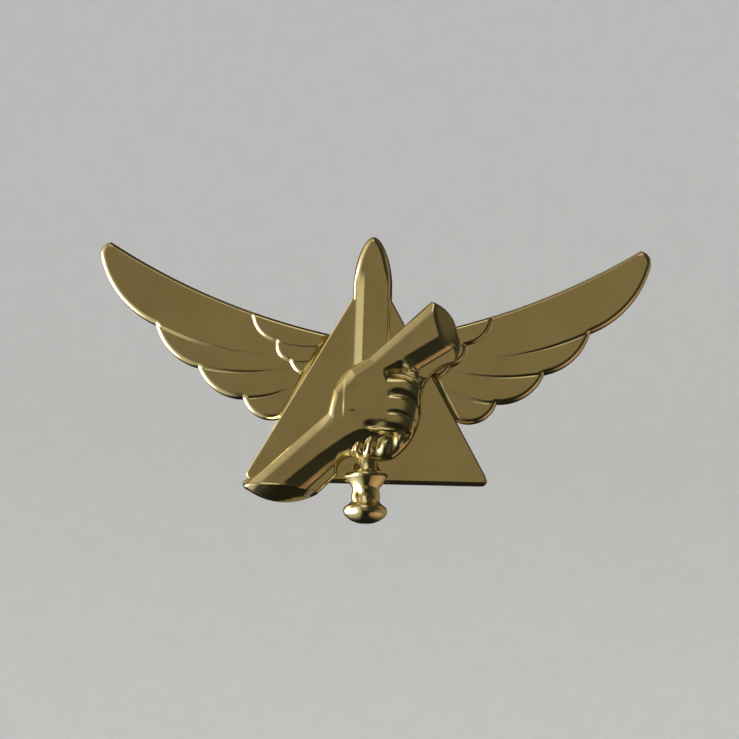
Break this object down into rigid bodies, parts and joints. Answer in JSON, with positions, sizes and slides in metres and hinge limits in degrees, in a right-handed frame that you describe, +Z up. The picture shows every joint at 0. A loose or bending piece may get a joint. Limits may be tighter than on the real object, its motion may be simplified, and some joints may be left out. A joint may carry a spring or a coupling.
{
  "type": "pilot wings pin",
  "caption": "Struck gold breast badge: feathered wings, a delta plate, a sword and clasped arms, on nail posts with sliding butterfly clutches.",
  "frame": {"origin": "on the flat back of the delta plate, on the emblem's left-right centre line, 11 mm below the nose tip", "axes": "+X to the viewer's right across the wings, +Y out of the back along the posts, +Z up towards the nose"},
  "size_m": [0.05, 0.0122, 0.0259],
  "materials": {
    "emblem_gold": "satin gold plate",
    "post_brass": "bright",
    "clutch_brass": "polished"
  },
  "bodies": {
    "emblem": {"left_wing": "emblem_gold", "right_wing": "emblem_gold", "delta_plate": "emblem_gold", "sword": "emblem_gold", "clasped_arms": "emblem_gold", "left_post": "post_brass", "right_post": "post_brass"},
    "left_clutch": {"left_clutch_cup": "clutch_brass", "left_spring_clip": "clutch_brass"},
    "left_upper_ear": {"left_upper_ear": "clutch_brass"},
    "left_lower_ear": {"left_lower_ear": "clutch_brass"},
    "right_clutch": {"right_clutch_cup": "clutch_brass", "right_spring_clip": "clutch_brass"},
    "right_upper_ear": {"right_upper_ear": "clutch_brass"},
    "right_lower_ear": {"right_lower_ear": "clutch_brass"}
  },
  "joints": [
    {"name": "left_clutch_slide", "type": "slide", "parent": "emblem", "child": "left_clutch", "axis": [0, 1, 0], "range_m": [0, 0.012]},
    {"name": "left_upper_ear_pinch", "type": "hinge", "parent": "left_clutch", "child": "left_upper_ear", "pos_m": [-0.0082, 0.00285, 0.00135], "axis": [-1, 0, 0], "range_deg": [0, 14], "stiffness_Nm_per_rad": 0.0005},
    {"name": "left_lower_ear_pinch", "type": "hinge", "parent": "left_clutch", "child": "left_lower_ear", "pos_m": [-0.0082, 0.00285, -0.00265], "axis": [1, 0, 0], "range_deg": [0, 14], "stiffness_Nm_per_rad": 0.0005},
    {"name": "right_clutch_slide", "type": "slide", "parent": "emblem", "child": "right_clutch", "axis": [0, 1, 0], "range_m": [0, 0.012]},
    {"name": "right_upper_ear_pinch", "type": "hinge", "parent": "right_clutch", "child": "right_upper_ear", "pos_m": [0.0082, 0.00285, 0.00135], "axis": [-1, 0, 0], "range_deg": [0, 14], "stiffness_Nm_per_rad": 0.0005},
    {"name": "right_lower_ear_pinch", "type": "hinge", "parent": "right_clutch", "child": "right_lower_ear", "pos_m": [0.0082, 0.00285, -0.00265], "axis": [1, 0, 0], "range_deg": [0, 14], "stiffness_Nm_per_rad": 0.0005}
  ],
  "couplings": [
    {"joint": "left_lower_ear_pinch", "follows": "left_upper_ear_pinch", "ratio": 1},
    {"joint": "right_lower_ear_pinch", "follows": "right_upper_ear_pinch", "ratio": 1}
  ]
}
